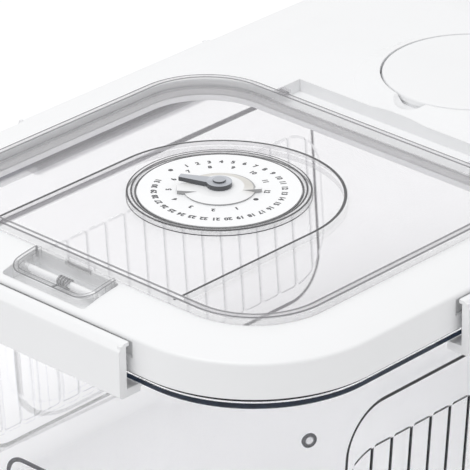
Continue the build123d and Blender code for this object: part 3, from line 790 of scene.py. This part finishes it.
class CONTAINER_OT_clip_lips(bpy.types.Operator):
    """Makes the thin lip that closes the gap between each clip's top and the lid"""

    bl_idname = "container.clip_lips"
    bl_label = "Clip lips"

    def execute(self, context):
        colour = tuple(context.scene.container_finish.white)
        white = white_moulding("lip_white", colour, gloss=0.32, edge=0.0)
        for turn, name in enumerate(CLIP_NAMES):
            low, high = (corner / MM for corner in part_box(name))
            across = turn % 2 == 1
            width = (high.y - low.y if across else high.x - low.x) - 2 * LIP_END
            half = LID_HALF[0] if across else LID_HALF[1]
            lip = self.bar(width, half)
            lip.name = name + "_lip"
            self.turn(lip, math.pi / 2 * turn)
            paint(lip, white)
            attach(lip, name)
        return {"FINISHED"}

    def bar(self, width, half):
        """A rounded bar along the front edge, its top edges softened."""
        deselect_all()
        middle = Vector((0.0, -half - LIP_REACH - LIP_DEPTH / 2, LIP_TOP - LIP_HEIGHT / 2)) * MM
        bpy.ops.mesh.primitive_cube_add(size=1.0, location=middle)
        obj = bpy.context.view_layer.objects.active
        obj.scale = Vector((width, LIP_DEPTH, LIP_HEIGHT)) * MM
        bpy.ops.object.transform_apply(location=True, rotation=True, scale=True)
        bpy.ops.object.mode_set(mode="EDIT")
        mesh = bmesh.from_edit_mesh(obj.data)
        for edge in mesh.edges:
            edge.select = all(vert.co.z > middle.z for vert in edge.verts)
        bmesh.update_edit_mesh(obj.data)
        bpy.ops.mesh.bevel(offset=LIP_BEVEL * MM, segments=3, affect="EDGES")
        bpy.ops.object.mode_set(mode="OBJECT")
        return smooth(obj)

    def turn(self, obj, angle):
        """Turns a bar about the container's own axis."""
        obj.matrix_world = Matrix.Rotation(angle, 4, "Z")
        take(obj)
        bpy.ops.object.transform_apply(location=True, rotation=True, scale=True)


class CONTAINER_OT_finish_white(bpy.types.Operator):
    """Gives the white mouldings their finish, and the dial disc and latch axle a lighter copy of the
    white as painted light
    """

    bl_idname = "container.finish_white"
    bl_label = "White mouldings"

    def execute(self, context):
        colour = tuple(context.scene.container_finish.white)
        lid = white_moulding("lid_white", colour, gloss=0.30, edge=0.5 * MM)
        clip = white_moulding("clip_white", colour, gloss=0.32, edge=0.4 * MM)
        cap = white_moulding("cap_white", shade(colour, 0.99), gloss=0.34, edge=0.0)
        # painted light: a copy of the white made 5% lighter for the dial disc and latch axle
        small = white_moulding("dial_white", shade(colour, 1.05), gloss=0.35, edge=0.15 * MM)
        finishes = {
            "lid": lid, "desiccant_cup": lid, "cap": cap, "clip_front": clip, "clip_rear": clip,
            "clip_left": clip, "clip_right": clip, "dial_disc": small, "latch_axle": small,
        }
        for name, material in finishes.items():
            paint(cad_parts[name], material)
        return {"FINISHED"}


class CONTAINER_OT_finish_and_shade_pointers(bpy.types.Operator):
    """Gives the dial's two pointers and their pivot their finish, with painted shade and highlight on
    them
    """

    bl_idname = "container.finish_pointers"
    bl_label = "Pointers"

    def execute(self, context):
        finish = context.scene.container_finish
        white = tuple(finish.white)
        grey = tuple(finish.grey)
        # painted shade on the grey pointer's sides, painted highlight on its hub's rear slope
        upper = pointer_plastic(
            "grey_pointer", grey, shade(grey, 0.2), shade(grey, 1.2), GREY_SLOPE, GREY_SHADE_LINE
        )
        # painted shade on the white pointer's sides, and the beige painted shade on its hub's rear slope
        lower = pointer_plastic(
            "white_pointer", white, shade(white, 0.42), tuple(finish.shadow), WHITE_SLOPE, WHITE_SHADE_LINE
        )
        paint(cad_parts["pointer_grey"], upper)
        paint(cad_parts["dial_pivot"], upper)
        paint(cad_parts["pointer_white"], lower)
        return {"FINISHED"}


class CONTAINER_OT_clear_with_edge_shade(bpy.types.Operator):
    """Gives the clear mouldings their finish, with painted shade along their edges"""

    bl_idname = "container.finish_clear"
    bl_label = "Clear mouldings"

    def execute(self, context):
        finish = context.scene.container_finish
        edge = context.scene.container_edge
        clear = tuple(finish.clear)
        paint(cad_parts["tub"], clear_tub("tub_clear", clear, edge))
        paint(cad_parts["flap"], clear_flap("flap_clear", tuple(finish.haze), edge))
        paint(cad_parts["dial_ring"], clear_ring("ring_clear", clear, edge))
        paint(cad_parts["latch_button"], clear_button("button_clear", clear, edge))
        return {"FINISHED"}


class CONTAINER_OT_finish_small(bpy.types.Operator):
    """Gives the seals, spring and hinge pins their finish"""

    bl_idname = "container.finish_small"
    bl_label = "Seals and steel"

    def execute(self, context):
        finish = context.scene.container_finish
        seal = soft_seal("seal_white", tuple(finish.rubber))
        steel = drawn_steel("drawn_steel", tuple(finish.steel))
        for name in ("lid_seal", "flap_seal", "cap_seal"):
            paint(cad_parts[name], seal)
        for name in ("latch_spring", "flap_hinge_pin_left", "flap_hinge_pin_right"):
            paint(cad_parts[name], steel)
        return {"FINISHED"}


class CONTAINER_OT_stage(bpy.types.Operator):
    """Sets the pale floor, the soft lamp and the camera"""

    bl_idname = "container.stage"
    bl_label = "Studio"

    def execute(self, context):
        stage = context.scene.container_stage
        self.add_floor()
        self.add_world(stage.sky)
        self.add_lamp("key", KEY_PLACE, KEY_SIZE, stage.key)
        self.add_camera(stage)
        context.scene.view_settings.view_transform = "Standard"
        return {"FINISHED"}

    def add_floor(self):
        """A wide pale floor, a little brighter where the camera or the clear plastic looks at it."""
        deselect_all()
        bpy.ops.mesh.primitive_plane_add(size=FLOOR_SIZE, location=(0.0, 0.0, 0.0))
        floor = bpy.context.view_layer.objects.active
        floor.name = "floor"
        board = Board("studio_floor")
        mottle = board.noise(scale=6.0, detail=2.0)
        colour = board.tone(mottle, *FLOOR_TONES)
        plain, through_plastic, bare = (
            board.node(
                "ShaderNodeBsdfPrincipled", None,
                {"Base Color": colour, "Roughness": 0.8,
                 "Emission Color": (1.0, 1.0, 1.0, 1.0), "Emission Strength": lift}, out="BSDF",
            )
            for lift in FLOOR_LIFTS
        )
        seen = board.node("ShaderNodeLightPath", out="Is Camera Ray")
        mirrored = board.node("ShaderNodeLightPath", out="Is Glossy Ray")
        through = board.node("ShaderNodeLightPath", out="Is Transmission Ray")
        inside = board.node("ShaderNodeMixShader", None, {0: through, 1: plain, 2: through_plastic})
        open_view = (seen + mirrored * (1.0 - through)).clamp()
        mix = board.node("ShaderNodeMixShader", None, {0: open_view, 1: inside, 2: bare})
        board.tree.links.new(mix.socket, board.output.inputs["Surface"])
        paint(floor, board.material)

    def add_world(self, strength):
        """Even light from all round, and plain white where the surroundings are seen."""
        world = bpy.data.worlds.new("studio")
        bpy.context.scene.world = world
        world.use_nodes = True
        tree = world.node_tree
        tree.nodes.clear()
        output = tree.nodes.new("ShaderNodeOutputWorld")
        mix = tree.nodes.new("ShaderNodeMixShader")
        for index, power in ((1, strength), (2, 1.0)):
            shader = tree.nodes.new("ShaderNodeBackground")
            shader.inputs["Color"].default_value = (1.0, 1.0, 1.0, 1.0)
            shader.inputs["Strength"].default_value = power
            tree.links.new(shader.outputs[0], mix.inputs[index])
        path = tree.nodes.new("ShaderNodeLightPath")
        seen = path.outputs["Is Camera Ray"]
        for name in ("Is Transmission Ray", "Is Glossy Ray"):
            either = tree.nodes.new("ShaderNodeMath")
            either.operation = "MAXIMUM"
            tree.links.new(seen, either.inputs[0])
            tree.links.new(path.outputs[name], either.inputs[1])
            seen = either.outputs[0]
        tree.links.new(seen, mix.inputs[0])
        tree.links.new(mix.outputs[0], output.inputs["Surface"])

    def add_lamp(self, name, place, size, power):
        """A large round lamp that points at the container."""
        data = bpy.data.lights.new(name, "AREA")
        data.shape = "DISK"
        data.size = size
        data.energy = power
        lamp = bpy.data.objects.new(name, data)
        bpy.context.scene.collection.objects.link(lamp)
        aim = Vector(KEY_AIM) - Vector(place)
        turn = aim.to_track_quat("-Z", "Y").to_matrix().to_4x4()
        lamp.matrix_world = Matrix.Translation(place) @ turn

    def add_camera(self, stage):
        """The camera that was fitted to the photograph."""
        data = bpy.data.cameras.new("camera")
        camera = bpy.data.objects.new("camera", data)
        bpy.context.scene.collection.objects.link(camera)
        azimuth, elevation = stage.azimuth, stage.elevation
        back = Vector((
            math.sin(azimuth) * math.cos(elevation),
            -math.cos(azimuth) * math.cos(elevation),
            math.sin(elevation),
        ))
        right = Vector((math.cos(azimuth), math.sin(azimuth), 0.0))
        up = back.cross(right)
        turn, lean = math.cos(stage.roll), math.sin(stage.roll)
        right, up = turn * right + lean * up, turn * up - lean * right
        rotation = Matrix((right, up, back)).transposed().to_4x4()
        place = Vector(stage.target) + back * stage.distance
        camera.matrix_world = Matrix.Translation(place) @ rotation
        data.sensor_width = SENSOR_WIDTH
        data.lens = stage.pixels_per_metre * stage.distance * data.sensor_width / PHOTO_PIXELS
        data.clip_start, data.clip_end = CLIP_RANGE
        bpy.context.scene.camera = camera


class CONTAINER_PT_panel(bpy.types.Panel):
    """Lists the operators and their settings"""

    bl_idname = "CONTAINER_PT_panel"
    bl_label = "Rice Storage Container"
    bl_space_type = "VIEW_3D"
    bl_region_type = "UI"
    bl_category = "Container"

    def draw(self, context):
        layout = self.layout
        for operator in OPERATORS:
            layout.operator(operator.bl_idname)
        for group in (
            context.scene.container_dial, context.scene.container_finish,
            context.scene.container_edge, context.scene.container_stage,
        ):
            column = layout.column()
            for key in group.__annotations__:
                column.prop(group, key)


OPERATORS = (
    CONTAINER_OT_clip_lips,
    CONTAINER_OT_finish_white,
    CONTAINER_OT_finish_and_shade_pointers,
    CONTAINER_OT_clear_with_edge_shade,
    CONTAINER_OT_finish_small,
    CONTAINER_OT_dial_print,
    CONTAINER_OT_stage,
)
GROUPS = (
    ContainerDialSettings, ContainerFinishSettings, ContainerEdgeShadeSettings, ContainerStageSettings,
)


def register():
    """Adds the classes and their settings to Blender."""
    for cls in (*GROUPS, *OPERATORS, CONTAINER_PT_panel):
        bpy.utils.register_class(cls)
    bpy.types.Scene.container_dial = bpy.props.PointerProperty(type=ContainerDialSettings)
    bpy.types.Scene.container_finish = bpy.props.PointerProperty(type=ContainerFinishSettings)
    bpy.types.Scene.container_edge = bpy.props.PointerProperty(type=ContainerEdgeShadeSettings)
    bpy.types.Scene.container_stage = bpy.props.PointerProperty(type=ContainerStageSettings)


def unregister():
    """Takes the settings and classes out again."""
    del bpy.types.Scene.container_stage
    del bpy.types.Scene.container_edge
    del bpy.types.Scene.container_finish
    del bpy.types.Scene.container_dial
    for cls in reversed((*GROUPS, *OPERATORS, CONTAINER_PT_panel)):
        bpy.utils.unregister_class(cls)


def main():
    """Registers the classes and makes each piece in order."""
    register()
    bpy.ops.container.clip_lips()
    bpy.ops.container.finish_white()
    bpy.ops.container.finish_pointers()
    bpy.ops.container.finish_clear()
    bpy.ops.container.finish_small()
    bpy.ops.container.dial_print()
    bpy.ops.container.stage()


if __name__ == "__main__":
    main()
